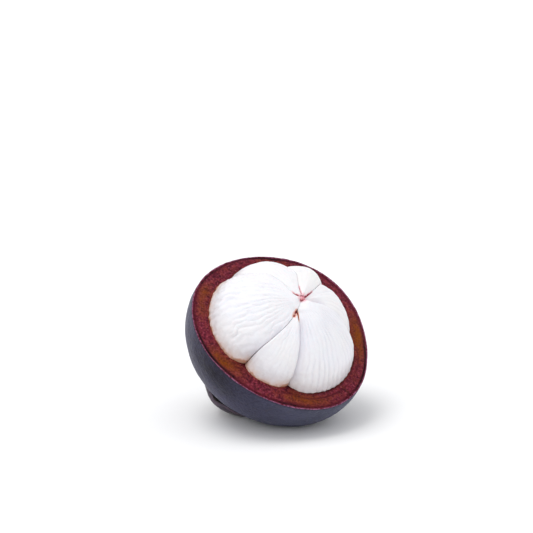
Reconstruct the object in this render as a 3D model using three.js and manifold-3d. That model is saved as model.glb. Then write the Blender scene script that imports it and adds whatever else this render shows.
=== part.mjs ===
// A mangosteen opened round its middle: the stem half of the thick rind as a cup, with the
// whole white flesh standing in it, six separate segments round a thin core. The four sepals
// and the cut stem are still on the underside, so the fruit leans on them with its open side
// forward. Millimetres, +Z up, standing on z = 0.
//
// Every piece is shaped in the fruit's own frame: origin at the middle of the cut, +Z out of
// the opening along the fruit's axis, +X towards the side that leans down. Azimuths go round
// that axis from +X, in degrees.

import * as THREE from 'three';
import { mergeVertices } from 'three/addons/utils/BufferGeometryUtils.js';
import Module from 'manifold-3d';

const wasm = await Module();
wasm.setup();

// ---- Driving dimensions ------------------------------------------------------------------

const GAP = 0.35; // between neighbouring pieces

const LEAN = 40.2; // degrees, the fruit's axis from upright
const HEADING = -56.9; // degrees from +X, the way that the open side faces

const BODY_RADIUS = 32.9; // the fruit at its widest
const BODY_HALF_HEIGHT = 29;
const BODY_CENTRE = -2.8; // height of the widest girth, just under the cut
const SPOT_DEPTH = 1.1; // how far the skin is pressed flat where it rests

// How the girth departs from round: in so many sides, so far out, towards an azimuth.
const GIRTH_SIDES = [
  { count: 3, out: 0.87, towards: 5.5 },
  { count: 4, out: 0.25, towards: 26.6 },
];

const BALL_RADIUS = 27.3; // the flesh, six segments together
const BALL_HALF_HEIGHT = 23.4;
const BALL_CENTRE = -3.7;
const GROOVE_SPREAD = 7.5; // how far from a seam a segment starts to round off into its groove
const CORE_BORE = 0.95; // the hole that the segments leave round the axis
const FUNNEL_RADIUS = 1.7; // that hole at its mouth, on top
const FUNNEL_DEPTH = 5;
const DIMPLE_DEPTH = 1.2; // where the segments turn down to the core
const DIMPLE_RADIUS = 12; // how far out the grooves reach most of their own depth
const NEAR_TOP = 12; // degrees from the top inside which the seams run straight to the core

// The segments in order round the axis: the seam where each starts, with the depth of its groove
// and how far the seam veers near the top, within what reach and how abruptly, and how far the
// segment bulges. The small last one stops short of the top, so the two beside it meet over its
// tip.
const SEGMENTS = [
  { from: -22, groove: 1.5, veer: -58, reach: 10.5, power: 1, bulge: 1.01 },
  { from: 64.5, groove: 1.0, veer: -10, reach: 14, power: 2, bulge: 0.94 },
  { from: 119, groove: 2.0, veer: -7, reach: 24, power: 2, bulge: 1.01 },
  { from: 159, groove: 2.0, veer: 12, reach: 18, power: 2, bulge: 1.0 },
  { from: 204.5, groove: 1.7, veer: 32, reach: 11.5, power: 2, bulge: 1.007 },
  { from: 296.5, groove: 3.4, veer: 21.5, reach: 43, power: 2, bulge: 0.945, tip: 14 },
];

const STEM_RADIUS = 3.1;
const STEM_LENGTH = 11.6;

// The sepals: which way each points, its length, half width, how high it arches, and how high
// its tip stands off the skin.
const SEPALS = [
  { towards: 289, length: 17.4, halfWidth: 11.3, arch: 2.8, tip: 0.8 },
  { towards: 20, length: 11, halfWidth: 7.5, arch: 0.4, tip: 0.2 },
  { towards: 110, length: 15.5, halfWidth: 9, arch: 2.4, tip: 1.6 },
  { towards: 200, length: 16.5, halfWidth: 9.2, arch: 2.8, tip: 1.4 },
];
const SEPAL_THICKNESS = 1.9;
const SEPAL_EDGE = 0.8; // thickness at the margin

// ---- Small helpers -----------------------------------------------------------------------

const DEG = Math.PI / 180;
const wrap = (degrees) => ((degrees % 360) + 360) % 360;
const ramp = (count) => Array.from({ length: count + 1 }, (_, i) => i / count);
const mix = THREE.MathUtils.lerp;

// A point from its distance to the axis, its azimuth in degrees, and its height.
function polar(radius, azimuth, height) {
  return new THREE.Vector3(radius * Math.cos(azimuth * DEG), radius * Math.sin(azimuth * DEG), height);
}

const mean = (points) =>
  points.reduce((sum, p) => sum.add(p), new THREE.Vector3()).divideScalar(points.length);

// Joins rings of points, all with the same count, into one closed surface with a cap at each end,
// fanned out from a middle point: the one given, or the mean of the end ring.
function loft(rings, middles = [mean(rings[0]), mean(rings.at(-1))]) {
  const count = rings[0].length;
  const points = rings.flat();
  const triangles = [];
  for (let r = 0; r + 1 < rings.length; r++) {
    for (let i = 0; i < count; i++) {
      const a = r * count + i;
      const b = r * count + ((i + 1) % count);
      triangles.push([a, b, b + count], [a, b + count, a + count]);
    }
  }
  for (const [start, middle] of [[0, middles[0]], [(rings.length - 1) * count, middles[1]]]) {
    points.push(middle);
    for (let i = 0; i < count; i++) {
      const edge = [start + i, start + ((i + 1) % count)];
      triangles.push([points.length - 1, ...(start === 0 ? edge.reverse() : edge)]);
    }
  }
  const volume = triangles.reduce((sum, [a, b, c]) => {
    return sum + points[a].dot(new THREE.Vector3().crossVectors(points[b], points[c]));
  }, 0);
  if (volume < 0) triangles.forEach((t) => t.reverse());
  const geometry = new THREE.BufferGeometry().setFromPoints(points);
  geometry.setIndex(triangles.flat());
  return geometry;
}

function toSolid(geometry) {
  const bare = geometry.clone();
  bare.deleteAttribute('normal');
  bare.deleteAttribute('uv');
  const merged = mergeVertices(bare, 1e-4);
  const vertProperties = new Float32Array(merged.getAttribute('position').array);
  const triVerts = new Uint32Array(merged.index.array);
  return new wasm.Manifold(new wasm.Mesh({ numProp: 3, vertProperties, triVerts }));
}

function toGeometry(solid) {
  const { vertProperties, triVerts } = solid.getMesh();
  const geometry = new THREE.BufferGeometry();
  geometry.setAttribute('position', new THREE.BufferAttribute(vertProperties, 3));
  geometry.setIndex(new THREE.BufferAttribute(triVerts, 1));
  return geometry;
}

// ---- How the fruit stands ----------------------------------------------------------------

const stand = new THREE.Group();
stand.name = 'opened_mangosteen';
const fruit = new THREE.Group();
fruit.rotation.set(0, LEAN * DEG, HEADING * DEG, 'ZYX');

// The lowest point of the leaning body, in the fruit's frame.
const down = new THREE.Vector3(Math.sin(LEAN * DEG), 0, -Math.cos(LEAN * DEG));
const girth = new THREE.Vector3(BODY_RADIUS ** 2, BODY_RADIUS ** 2, BODY_HALF_HEIGHT ** 2);
const lowest = down.clone().multiply(girth);
lowest.divideScalar(Math.sqrt(lowest.dot(down)));
lowest.z += BODY_CENTRE;
const restPoint = lowest.clone().addScaledVector(down, -SPOT_DEPTH);
fruit.position.copy(restPoint).applyEuler(fruit.rotation).negate();
fruit.updateMatrix();
stand.add(fruit);

// Everything under z = 0, in the fruit's frame, to press flat what the fruit rests on.
const GROUND = 200;
const ground = new THREE.BoxGeometry(GROUND, GROUND, GROUND).translate(0, 0, -GROUND / 2);
ground.applyMatrix4(fruit.matrix.clone().invert());
const groundSolid = toSolid(ground);
const pressedFlat = (geometry) => toGeometry(toSolid(geometry).subtract(groundSolid));

// ---- The round shapes that pieces share --------------------------------------------------

// The skin of the whole fruit at an angle from the stem end: uneven round its girth, and even at
// the stem end, where the sepals sit.
function skin(fromStem, azimuth) {
  const [sine, cosine] = [Math.sin(fromStem * DEG), Math.cos(fromStem * DEG)];
  const uneven = GIRTH_SIDES.reduce((sum, { count, out, towards }) => {
    return sum + out * Math.cos(count * (azimuth - towards) * DEG);
  }, 0);
  const radius = BODY_RADIUS + uneven * sine ** 2;
  return polar(radius * sine, azimuth, BODY_CENTRE - BODY_HALF_HEIGHT * cosine);
}

// The azimuth of the seam where segment k starts, at an angle from the top of the flesh.
function seam(k, fromTop) {
  const { from, veer, reach, power } = SEGMENTS[k % SEGMENTS.length];
  const turn = veer * Math.exp(-((Math.max(fromTop, NEAR_TOP) / reach) ** power));
  return from + turn + (k < SEGMENTS.length ? 0 : 360);
}

// The azimuth at a share of the way across segment k.
const across = (k, share, fromTop) => mix(seam(k, fromTop), seam(k + 1, fromTop), share);

// How far the flesh bulges at an azimuth, changing smoothly from one segment's middle to the next.
function bulge(azimuth) {
  const middles = SEGMENTS.map((_, k) => across(k, 0.5, 90));
  const ahead = middles.map((middle) => wrap(middle - azimuth));
  const next = ahead.indexOf(Math.min(...ahead));
  const last = (next + SEGMENTS.length - 1) % SEGMENTS.length;
  const share = 1 - ahead[next] / wrap(middles[next] - middles[last]);
  return mix(SEGMENTS[last].bulge, SEGMENTS[next].bulge, THREE.MathUtils.smoothstep(share, 0, 1));
}

// How far segment k's surface dips towards the seams beside it, and at both ends to the core.
function dip(k, fromTop, azimuth) {
  const radius = BALL_RADIUS * Math.sin(fromTop * DEG);
  const opening = 1 - Math.exp(-((radius / DIMPLE_RADIUS) ** 2));
  const towards = (next, degrees) => {
    const nearness = Math.max(0, 1 - (radius * degrees * DEG) / GROOVE_SPREAD) ** 2;
    return mix(DIMPLE_DEPTH, SEGMENTS[next % SEGMENTS.length].groove, opening) * nearness;
  };
  return Math.max(
    towards(k, azimuth - seam(k, fromTop)),
    towards(k + 1, seam(k + 1, fromTop) - azimuth),
  );
}

// The surface of segment k, a share of the way across it and at an angle from the top, grown
// outwards by a clearance.
function flesh(k, share, fromTop, clearance = 0) {
  const azimuth = across(k, share, fromTop);
  const [sine, cosine] = [Math.sin(fromTop * DEG), Math.cos(fromTop * DEG)];
  const outward = new THREE.Vector2(sine / BALL_RADIUS, cosine / BALL_HALF_HEIGHT).normalize();
  const size = bulge(azimuth);
  const grown = clearance - dip(k, fromTop, azimuth);
  const radius = BALL_RADIUS * size * sine + grown * outward.x;
  const height = BALL_CENTRE + BALL_HALF_HEIGHT * size * cosine + grown * outward.y;
  return { radius, azimuth, height };
}

const atPlace = ({ radius, azimuth, height }) => polar(radius, azimuth, height);

// Steps across a segment, closer together where it rounds off at each side.
function stepsAcross(k) {
  const width = seam(k + 1, 90) - seam(k, 90);
  const side = [0, 3, 7.5];
  const middle = ramp(Math.round((width - 26) / 8)).map((f) => mix(13, width - 13, f));
  return [...side, ...middle, ...side.toReversed().map((d) => width - d)].map((d) => d / width);
}

// ---- Rind --------------------------------------------------------------------------------

// The cup in one closed surface: up the skin from the stem end, across the cut, and down the
// inside, where ridges of rind stand in the grooves between the segments.
function rind() {
  const rimAngle = Math.acos(BODY_CENTRE / BODY_HALF_HEIGHT) / DEG;
  const cutAngle = Math.acos(-BALL_CENTRE / (BALL_HALF_HEIGHT + GAP)) / DEG;
  const columns = SEGMENTS.flatMap((_, k) => stepsAcross(k).slice(0, -1).map((share) => [k, share]));
  const ring = (place) => columns.map(([k, share]) => place(k, share));
  const outside = ramp(19).slice(1).map((f) =>
    ring((k, share) => skin(f * rimAngle, across(k, share, 90))),
  );
  const rim = [0.12, 0.5, 0.88].map((f) =>
    ring((k, share) => {
      const outer = skin(rimAngle, across(k, share, 90));
      const inner = atPlace(flesh(k, share, cutAngle, GAP));
      return outer.lerp(inner, f).setZ(0.25 * Math.sin(f * Math.PI));
    }),
  );
  const inside = ramp(16).map((f) =>
    ring((k, share) => atPlace(flesh(k, share, mix(cutAngle, 177, f), GAP))),
  );
  return pressedFlat(loft([...outside, ...rim, ...inside]));
}

// ---- Flesh segments ----------------------------------------------------------------------

// One segment, lofted from side wall to side wall. Each ring is its outline on one half plane
// through the axis: over its back from the top to the bottom, then up along the core. A segment
// with a tip of its own comes away from the core half way up, and slants out to that tip.
function segment(k) {
  const { tip } = SEGMENTS[k];
  const topAngle = tip ?? Math.asin(FUNNEL_RADIUS / BALL_RADIUS) / DEG;
  const endAngle = 180 - Math.asin((CORE_BORE * 1.1) / BALL_RADIUS) / DEG;
  const ringAt = (share) => {
    const back = ramp(20).map((s) => flesh(k, share, mix(topAngle, endAngle, s)));
    const foot = back.at(-1).height;
    const throat = tip ? BALL_CENTRE : back[0].height - FUNNEL_DEPTH;
    const core = ramp(3).slice(1).map((s) => {
      const height = mix(foot, throat, s);
      const fromTop = 90 - (90 * (height - BALL_CENTRE)) / BALL_HALF_HEIGHT;
      return { radius: CORE_BORE, azimuth: across(k, share, fromTop), height };
    });
    return [...back, ...core].map(({ radius, azimuth, height }) => {
      const wall = Math.asin(GAP / 2 / radius) / DEG; // keeps a side wall clear of its neighbour
      return polar(radius, azimuth + mix(wall, -wall, share), height);
    });
  };
  const middles = [0, 1].map((share) => ringAt(share)[10].multiplyScalar(0.5));
  return loft(stepsAcross(k).map(ringAt), middles);
}

// ---- Core --------------------------------------------------------------------------------

// The thin column that the segments grow from. It opens into a small star on top, with an arm
// towards each groove.
function core() {
  const top = BALL_CENTRE + BALL_HALF_HEIGHT - DIMPLE_DEPTH;
  const foot = BALL_CENTRE - BALL_HALF_HEIGHT + DIMPLE_DEPTH + 2 * GAP; // clear of the uneven floor
  const stalk = CORE_BORE - GAP;
  const head = FUNNEL_RADIUS - GAP;
  const profile = [
    [stalk, foot],
    [stalk, top - FUNNEL_DEPTH - 1],
    [mix(stalk, head, 0.45), top - FUNNEL_DEPTH / 2],
    [mix(stalk, head, 0.8), top - 1.6],
    [head * 0.9, top - 0.7],
    [head * 0.5, top - 0.35],
  ];
  const starArm = (azimuth) => {
    const nearest = Math.min(...SEGMENTS.map((_, k) => Math.abs(wrap(azimuth - seam(k, 0) + 180) - 180)));
    return 0.72 + 0.28 * Math.exp(-((nearest / 11) ** 2));
  };
  return loft(
    profile.map(([radius, height], row) =>
      ramp(48).slice(0, -1).map((f) => polar(radius * (row < 2 ? 1 : starArm(f * 360)), f * 360, height)),
    ),
  );
}

// ---- Stem --------------------------------------------------------------------------------

// The cut stalk: a flared foot on the fruit, a ribbed neck, and a thicker end.
function stem() {
  const foot = BODY_CENTRE - BODY_HALF_HEIGHT - GAP;
  const profile = [
    [0.9, 0], [1.12, 0.01], [1.0, 0.16], [0.9, 0.4], [0.92, 0.62], [1.06, 0.8], [1.1, 0.92], [0.92, 1],
  ];
  return pressedFlat(
    loft(
      profile.map(([share, along]) =>
        ramp(32).slice(0, -1).map((f) => {
          const rib = 1 + 0.035 * Math.cos(f * 360 * 8 * DEG);
          const point = polar(STEM_RADIUS * share * rib, f * 360, foot - along * STEM_LENGTH);
          return point.setY(point.y + 0.5 * along * along);
        }),
      ),
    ),
  );
}

// ---- Sepals ------------------------------------------------------------------------------

// A point over the stem end of the skin: so far along and across from the stem, so high above it.
function overSkin(along, across, towards, above) {
  const reach = Math.hypot(along, across);
  const azimuth = towards + Math.atan2(across, along) / DEG;
  const angle = reach / BODY_RADIUS / DEG;
  const point = skin(angle, azimuth);
  const outward = new THREE.Vector3(point.x, point.y, point.z - BODY_CENTRE).divide(girth).normalize();
  return point.addScaledVector(outward, above);
}

// A thick leathery lobe, broad and round, arched like a spoon with its hollow side to the fruit.
function sepal({ towards, length, halfWidth, arch, tip }) {
  const base = STEM_RADIUS * 1.16 + GAP;
  const sides = ramp(10).map((f) => 2 * f - 1);
  const rings = ramp(12).map((f) => {
    const p = 0.5 - 0.5 * Math.cos(f * Math.PI); // closer together at both ends
    const along = base + p * length;
    const round = Math.sqrt(1 - ((p - 0.44) / 0.563) ** 2);
    const room = along * Math.tan(43.5 * DEG) - GAP;
    const half = Math.min(halfWidth * round, room) + 0.3;
    const place = (q, face) => {
      const crown = (1 - q * q) * Math.sin(Math.min(1, p * 1.25) * Math.PI * 0.5);
      const lift = GAP + arch * Math.sin(p * Math.PI * 0.8) * crown + tip * p * p;
      const thick = mix(SEPAL_EDGE, SEPAL_THICKNESS, Math.sqrt((1 - q * q) * round));
      return overSkin(along, q * half, towards, lift + face * thick);
    };
    return [...sides.map((q) => place(q, 0)), ...sides.toReversed().map((q) => place(q, 1))];
  });
  return pressedFlat(loft(rings));
}

// ---- The assembly ------------------------------------------------------------------------

const RIND = new THREE.MeshStandardMaterial({ color: 0x3a2a38, roughness: 0.5, metalness: 0 });
const FLESH = new THREE.MeshStandardMaterial({ color: 0xf3eff2, roughness: 0.35, metalness: 0 });
const CORE = new THREE.MeshStandardMaterial({ color: 0xd9808c, roughness: 0.5, metalness: 0 });
const SEPAL = new THREE.MeshStandardMaterial({ color: 0x6b4648, roughness: 0.55, metalness: 0 });
const STEM = new THREE.MeshStandardMaterial({ color: 0x8a7a34, roughness: 0.7, metalness: 0 });

function add(name, geometry, material) {
  const mesh = new THREE.Mesh(geometry, material);
  mesh.name = name;
  fruit.add(mesh);
}

add('rind', rind(), RIND);
SEGMENTS.forEach((_, k) => add(`flesh_segment_${k + 1}`, segment(k), FLESH));
add('core', core(), CORE);
add('stem', stem(), STEM);
SEPALS.forEach((shape, k) => add(`sepal_${k + 1}`, sepal(shape), SEPAL));

// The origin goes under the middle of the whole fruit.
stand.updateMatrixWorld(true);
const middle = new THREE.Box3().setFromObject(stand, true).getCenter(new THREE.Vector3());
fruit.position.sub(middle.setZ(0));

export default stand;
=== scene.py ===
# %% [markdown]
# # A mangosteen, opened round its middle
# The fruit lies on its stem side with the upper half of its rind taken off. What is left is a
# thick purple cup, and in it the whole white flesh: six soft segments round a thin pink core.
# Underneath are four leathery sepals and the cut stem.
#
# Every piece here is grown by Geometry Nodes from a rule, a formula that says how far a point
# lies from the fruit's axis, at which angle round it and how high. Modelling by hand would give
# the same big shapes, but a rule keeps neighbours exactly fitted to each other, repeats a
# segment or a sepal with other sizes at no cost, and stays easy to change.

import math

import bmesh
import bpy
from mathutils import Euler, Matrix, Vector


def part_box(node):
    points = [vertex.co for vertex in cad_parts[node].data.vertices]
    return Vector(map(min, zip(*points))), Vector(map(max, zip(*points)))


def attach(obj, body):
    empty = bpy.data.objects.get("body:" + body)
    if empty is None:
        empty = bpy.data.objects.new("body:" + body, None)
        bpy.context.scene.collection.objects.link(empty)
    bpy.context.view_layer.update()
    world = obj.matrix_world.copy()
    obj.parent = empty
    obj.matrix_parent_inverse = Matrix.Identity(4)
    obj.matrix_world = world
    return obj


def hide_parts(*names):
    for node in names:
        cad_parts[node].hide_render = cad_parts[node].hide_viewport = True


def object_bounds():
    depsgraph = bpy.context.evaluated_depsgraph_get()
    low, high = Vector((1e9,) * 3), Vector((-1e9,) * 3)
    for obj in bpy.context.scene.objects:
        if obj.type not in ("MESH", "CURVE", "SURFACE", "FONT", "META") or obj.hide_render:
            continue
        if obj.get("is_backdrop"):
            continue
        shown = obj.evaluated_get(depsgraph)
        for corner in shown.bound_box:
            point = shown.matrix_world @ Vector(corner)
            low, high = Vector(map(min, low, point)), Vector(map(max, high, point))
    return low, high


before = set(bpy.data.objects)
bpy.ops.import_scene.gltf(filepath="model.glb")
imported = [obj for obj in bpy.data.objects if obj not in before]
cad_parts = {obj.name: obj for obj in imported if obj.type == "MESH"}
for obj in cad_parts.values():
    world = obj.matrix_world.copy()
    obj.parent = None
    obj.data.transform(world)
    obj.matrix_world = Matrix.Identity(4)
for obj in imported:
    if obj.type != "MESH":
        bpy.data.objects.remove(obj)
cad_low, cad_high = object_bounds()
print("the frame is", [round(1000 * side, 1) for side in cad_high - cad_low], "mm")

# %% [markdown]
# ## The fruit's own frame
# A leaning thing is easiest to shape upright and to lean at the end. In the fruit's own frame the
# origin is the middle of the cut, Z runs out of the opening along the axis, and X points to the
# side that leans down. Angles go round the axis from X, in degrees, and lengths are millimetres.
# The loaded rind says how large a millimetre is, so the pieces follow the frame if it is resized.

# %% Sizes of the whole fruit
DEG = math.pi / 180
LEAN = 40.2  # the axis from upright, in degrees
HEADING = -56.9  # the way that the open side faces, from +X

RIND_WIDTH = 63.59  # from side to side of the loaded rind, when a millimetre is a millimetre
rind_low, rind_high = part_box("rind")
mm = (rind_high.x - rind_low.x) / RIND_WIDTH

GAP = 0.35  # between neighbouring pieces
JOIN_DISTANCE = 0.002  # within which points are merged
PRESS_ROUNDING = 0.4  # how softly the underside runs into the flat spot

BODY_RADIUS = 32.9
BODY_HALF_HEIGHT = 29
BODY_CENTRE = -2.8
GIRTH_SIDES = [(3, 0.87, 5.5), (4, 0.25, 26.6)]  # how many sides, how far out, towards

BALL_RADIUS = 27.3
BALL_HALF_HEIGHT = 23.4
BALL_CENTRE = -3.7
GROOVE_SPREAD = 7.5
CORE_BORE = 0.95
MOUTH_RADIUS = 1.15  # of the hole in the flesh, where the core shows
MOUTH_DEPTH = 5
DIMPLE_DEPTH = 1.2
DIMPLE_RADIUS = 12
NEAR_TOP = 5

RIM_ANGLE = math.acos(BODY_CENTRE / BODY_HALF_HEIGHT) / DEG  # of the cut, from the stem end
CUT_ANGLE = math.acos(-BALL_CENTRE / BALL_HALF_HEIGHT) / DEG  # of the cut, from the flesh's top

print("one millimetre is", round(mm, 7), "m; the rim is", round(RIM_ANGLE, 1), "degrees round")

# %% [markdown]
# ## Formulas as nodes
# A node tree can hold a formula, but a long one is hard to read as nodes. This small class lets
# it be written as a sum instead: each plus, times or sine adds one Math node behind the scenes.
# It works alike in the trees that shape a mesh and in those that colour it.


# %% A value that changes over a surface
class Field:
    """The output of a node, which can be added, multiplied and so on."""

    def __init__(self, socket):
        self.socket = socket
        self.tree = socket.id_data

    def __pow__(self, power):
        return calculate("POWER", self, power)

    def __neg__(self):
        return calculate("MULTIPLY", self, -1)


def add_sign(word, operation):
    """Lets a Field stand on either side of a sign, such as + or /."""
    setattr(Field, f"__{word}__", lambda this, other: calculate(operation, this, other))
    setattr(Field, f"__r{word}__", lambda this, other: calculate(operation, other, this))


SIGNS = {"add": "ADD", "sub": "SUBTRACT", "mul": "MULTIPLY", "truediv": "DIVIDE"}
for word, operation in SIGNS.items():
    add_sign(word, operation)


def plug(value, socket):
    """Gives a socket its value, which is a Field or a constant."""
    if isinstance(value, Field):
        socket.id_data.links.new(value.socket, socket)
    else:
        socket.default_value = value


def add_node(tree, kind, inputs=(), **settings):
    """Adds a node, with its settings and the values of its inputs, by name or number."""
    node = tree.nodes.new(kind)
    for name, value in settings.items():
        setattr(node, name, value)
    for name, value in dict(inputs).items():
        plug(value, node.inputs[name])
    return node


def calculate(operation, *values):
    tree = next(value.tree for value in values if isinstance(value, Field))
    node = add_node(tree, "ShaderNodeMath", enumerate(values), operation=operation)
    return Field(node.outputs[0])


def sine(degrees):
    return calculate("SINE", degrees * DEG)


def cosine(degrees):
    return calculate("COSINE", degrees * DEG)


def larger(first, second):
    return calculate("MAXIMUM", first, second)


def smaller(first, second):
    return calculate("MINIMUM", first, second)


def root(value):
    return calculate("SQRT", value)


def absolute(value):
    return calculate("ABSOLUTE", value)


def clamp(value):
    return smaller(larger(value, 0), 1)


def mix(first, second, share):
    return first + (second - first) * share


def degrees_apart(azimuth, towards):
    """How far an azimuth is past another one, from -180 to 180 degrees."""
    return calculate("FLOORED_MODULO", azimuth - towards + 540, 360) - 180


def bell(value, width):
    """1 where the value is 0, and falling smoothly to 0 on both sides of it."""
    return calculate("EXPONENT", -((value / width) * (value / width)))


def smooth(value, start, end):
    """Rises smoothly from 0 at the start to 1 at the end."""
    names = {"Value": value, "From Min": start, "From Max": end}
    node = add_node(value.tree, "ShaderNodeMapRange", names, interpolation_type="SMOOTHSTEP")
    return Field(node.outputs[0])


def vector(x, y, z):
    tree = next(value.tree for value in (x, y, z) if isinstance(value, Field))
    return Field(add_node(tree, "ShaderNodeCombineXYZ", {"X": x, "Y": y, "Z": z}).outputs[0])


def parts_of(vector_field):
    node = add_node(vector_field.tree, "ShaderNodeSeparateXYZ", {0: vector_field})
    return [Field(output) for output in node.outputs]


def noise(place, scale=1, detail=2, roughness=0.5):
    """Smooth random values, mostly between -1 and 1, that are the same in every run."""
    names = {"Vector": place, "Scale": scale, "Detail": detail, "Roughness": roughness}
    node = add_node(place.tree, "ShaderNodeTexNoise", names, noise_dimensions="3D")
    return (Field(node.outputs[0]) - 0.5) * 4


# %% [markdown]
# ## From a flat grid to a closed piece
# Each tree starts from a flat grid, one unit square. One side of the grid goes round the piece
# and the other along it, and the rule moves each grid point to its place. Where the grid's edges
# meet, the points fall together and are merged, which closes the seam and both ends.
#
# What the materials need to know, such as how much painted shade a groove gets, is stored on
# the points before they move. Then the piece is leant, pressed flat where it meets the table, and
# given its material. The mesh that comes out is kept as a plain mesh, so no modifier is left on the
# piece.


# %% Tools for the trees
def start_tree(name, sizes):
    """An empty tree with a named input for each size, and the inputs as Fields."""
    tree = bpy.data.node_groups.new(name, "GeometryNodeTree")
    for title, value in sizes.items():
        socket = tree.interface.new_socket(title, in_out="INPUT", socket_type="NodeSocketFloat")
        socket.default_value = value
    tree.interface.new_socket("Geometry", in_out="OUTPUT", socket_type="NodeSocketGeometry")
    given = tree.nodes.new("NodeGroupInput")
    return tree, {title: Field(given.outputs[title]) for title in sizes}


def grid(tree, columns, rows):
    """A flat grid, with the Fields that run from 0 to 1 round it and along it."""
    sizes = {"Size X": 1, "Size Y": 1, "Vertices X": columns + 1, "Vertices Y": rows + 1}
    node = add_node(tree, "GeometryNodeMeshGrid", sizes)
    x, y, _ = parts_of(Field(tree.nodes.new("GeometryNodeInputPosition").outputs[0]))
    return Field(node.outputs["Mesh"]), x + 0.5, y + 0.5


def store(geometry, domain="POINT", **values):
    """Keeps values on the points or faces, under their names, to be read later."""
    for name, value in values.items():
        inputs = {"Geometry": geometry, "Name": name, "Value": value}
        kind = "GeometryNodeStoreNamedAttribute"
        node = add_node(geometry.tree, kind, inputs, domain=domain)
        geometry = Field(node.outputs[0])
    return geometry


def move_to(geometry, place):
    inputs = {"Geometry": geometry, "Position": place}
    return Field(add_node(geometry.tree, "GeometryNodeSetPosition", inputs).outputs[0])


def polar(radius, azimuth, height):
    return vector(radius * cosine(azimuth), radius * sine(azimuth), height)


def paint(geometry, material, where=True):
    inputs = {"Geometry": geometry, "Material": material, "Selection": where}
    return Field(add_node(geometry.tree, "GeometryNodeSetMaterial", inputs).outputs[0])


def lean_and_finish(patches, material, material_inside=None):
    """Joins the patches, closes them, and leans them as the fruit leans."""
    tree = patches[0].tree
    joined = tree.nodes.new("GeometryNodeJoinGeometry")
    for patch in patches:
        tree.links.new(patch.socket, joined.inputs[0])
    merge = {"Geometry": Field(joined.outputs[0]), "Distance": JOIN_DISTANCE}
    closed = Field(add_node(tree, "GeometryNodeMergeByDistance", merge).outputs[0])
    turn = {
        "Geometry": closed,
        "Translation": ORIGIN,
        "Rotation": Euler((0, LEAN * DEG, HEADING * DEG)),
        "Scale": (mm, mm, mm),
    }
    leant = Field(add_node(tree, "GeometryNodeTransform", turn).outputs[0])
    x, y, z = parts_of(Field(tree.nodes.new("GeometryNodeInputPosition").outputs[0]))
    pressed = move_to(leant, vector(x, y, calculate("SMOOTH_MAX", z, 0, PRESS_ROUNDING * mm)))
    shaded = Field(add_node(tree, "GeometryNodeSetShadeSmooth", {0: pressed}).outputs[0])
    real = Field(add_node(tree, "GeometryNodeRealizeInstances", {0: shaded}).outputs[0])
    done = paint(real, material)
    if material_inside:
        inside = add_node(tree, "GeometryNodeInputNamedAttribute", {"Name": "inside"})
        done = paint(done, material_inside, Field(inside.outputs[0]))
    plug(done, tree.nodes.new("NodeGroupOutput").inputs[0])


def add_object(name, data):
    thing = bpy.data.objects.new(name, data)
    bpy.context.scene.collection.objects.link(thing)
    return thing


def grow(name, tree, sizes, nodes):
    """Runs a tree with its sizes, and keeps the result as a plain mesh for some CAD nodes."""
    holder = add_object("holder", bpy.data.meshes.new("holder"))
    modifier = holder.modifiers.new("shape", "NODES")
    modifier.node_group = tree
    for item in tree.interface.items_tree:
        if item.name in sizes:
            modifier[item.identifier] = float(sizes[item.name])
    graph = bpy.context.evaluated_depsgraph_get()
    mesh = bpy.data.meshes.new_from_object(
        holder.evaluated_get(graph), preserve_all_data_layers=True, depsgraph=graph
    )
    mesh.name = name
    bpy.data.objects.remove(holder)
    look = bmesh.new()
    look.from_mesh(mesh)
    volume = look.calc_volume(signed=True)
    open_edges = sum(not edge.is_manifold for edge in look.edges)
    if volume < 0:
        bmesh.ops.reverse_faces(look, faces=look.faces[:])
        look.to_mesh(mesh)
    look.free()
    piece = add_object(name, mesh)
    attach(piece, "root")
    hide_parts(*nodes)
    mesh.calc_loop_triangles()
    low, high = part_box(nodes[0])
    low_now = Vector(min(vertex.co[i] for vertex in mesh.vertices) for i in range(3))
    high_now = Vector(max(vertex.co[i] for vertex in mesh.vertices) for i in range(3))
    off = [round(1000 * side, 2) for side in (*(low_now - low), *(high_now - high))]
    print(
        f"{name}: {len(mesh.loop_triangles)} triangles, {abs(volume) * 1e6:.2f} cm3,"
        f" {open_edges} open edges, corners off the frame by {off} mm"
    )
    return piece


# %% [markdown]
# ## Where the fruit stands
# The fruit rests on the lowest spot of its leaning body, pressed in a little. That spot in the
# fruit's frame, leant and turned, gives the height of the origin. A given rest spot, from the
# frame's origin, gives the rest: the whole fruit has its middle over the frame's origin.

# %% Find the origin
lean = Euler((0, LEAN * DEG, HEADING * DEG)).to_matrix()
down = Vector((math.sin(LEAN * DEG), 0, -math.cos(LEAN * DEG)))
girth = Vector((BODY_RADIUS**2, BODY_RADIUS**2, BODY_HALF_HEIGHT**2))
lowest = Vector(down[i] * girth[i] for i in range(3))
lowest /= math.sqrt(lowest.dot(down))
SPOT_DEPTH = 1.1
SPOT = Vector((3.25, -5.09, 0)) * mm  # the rest spot's middle, from the frame's origin
rest_point = lowest + Vector((0, 0, BODY_CENTRE)) - down * SPOT_DEPTH
ORIGIN = SPOT - (lean @ rest_point) * mm
print("the middle of the cut is at", [round(1000 * value, 2) for value in ORIGIN], "mm")

# %% [markdown]
# ## Sound materials
# The skin of a ripe mangosteen is nearly black purple under a thin wax bloom, which scatters a
# bluish light at grazing angles. Where it is cut, the thick rind is crimson and brown and a
# little fibrous. The flesh is wet, white and translucent, so light goes some way into it.
#
# Images could hold all this, but patterns made of noise have no seams and stay sharp close up.
# Two effects serve in many of the materials, so each is a node group: mottle, an uneven tone in
# four sizes, and streaks, a tone that runs along in fine lines.


# %% Two effects that materials share
MOTTLE_TONES = {  # how much finer than the clouds, in how many octaves, how rough
    "Clouds": (1, 3, 0.5),
    "Blotches": (4.7, 3, 0.6),
    "Specks": (12, 2, 0.6),
    "Grain": (27, 3, 0.7),
}


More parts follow.
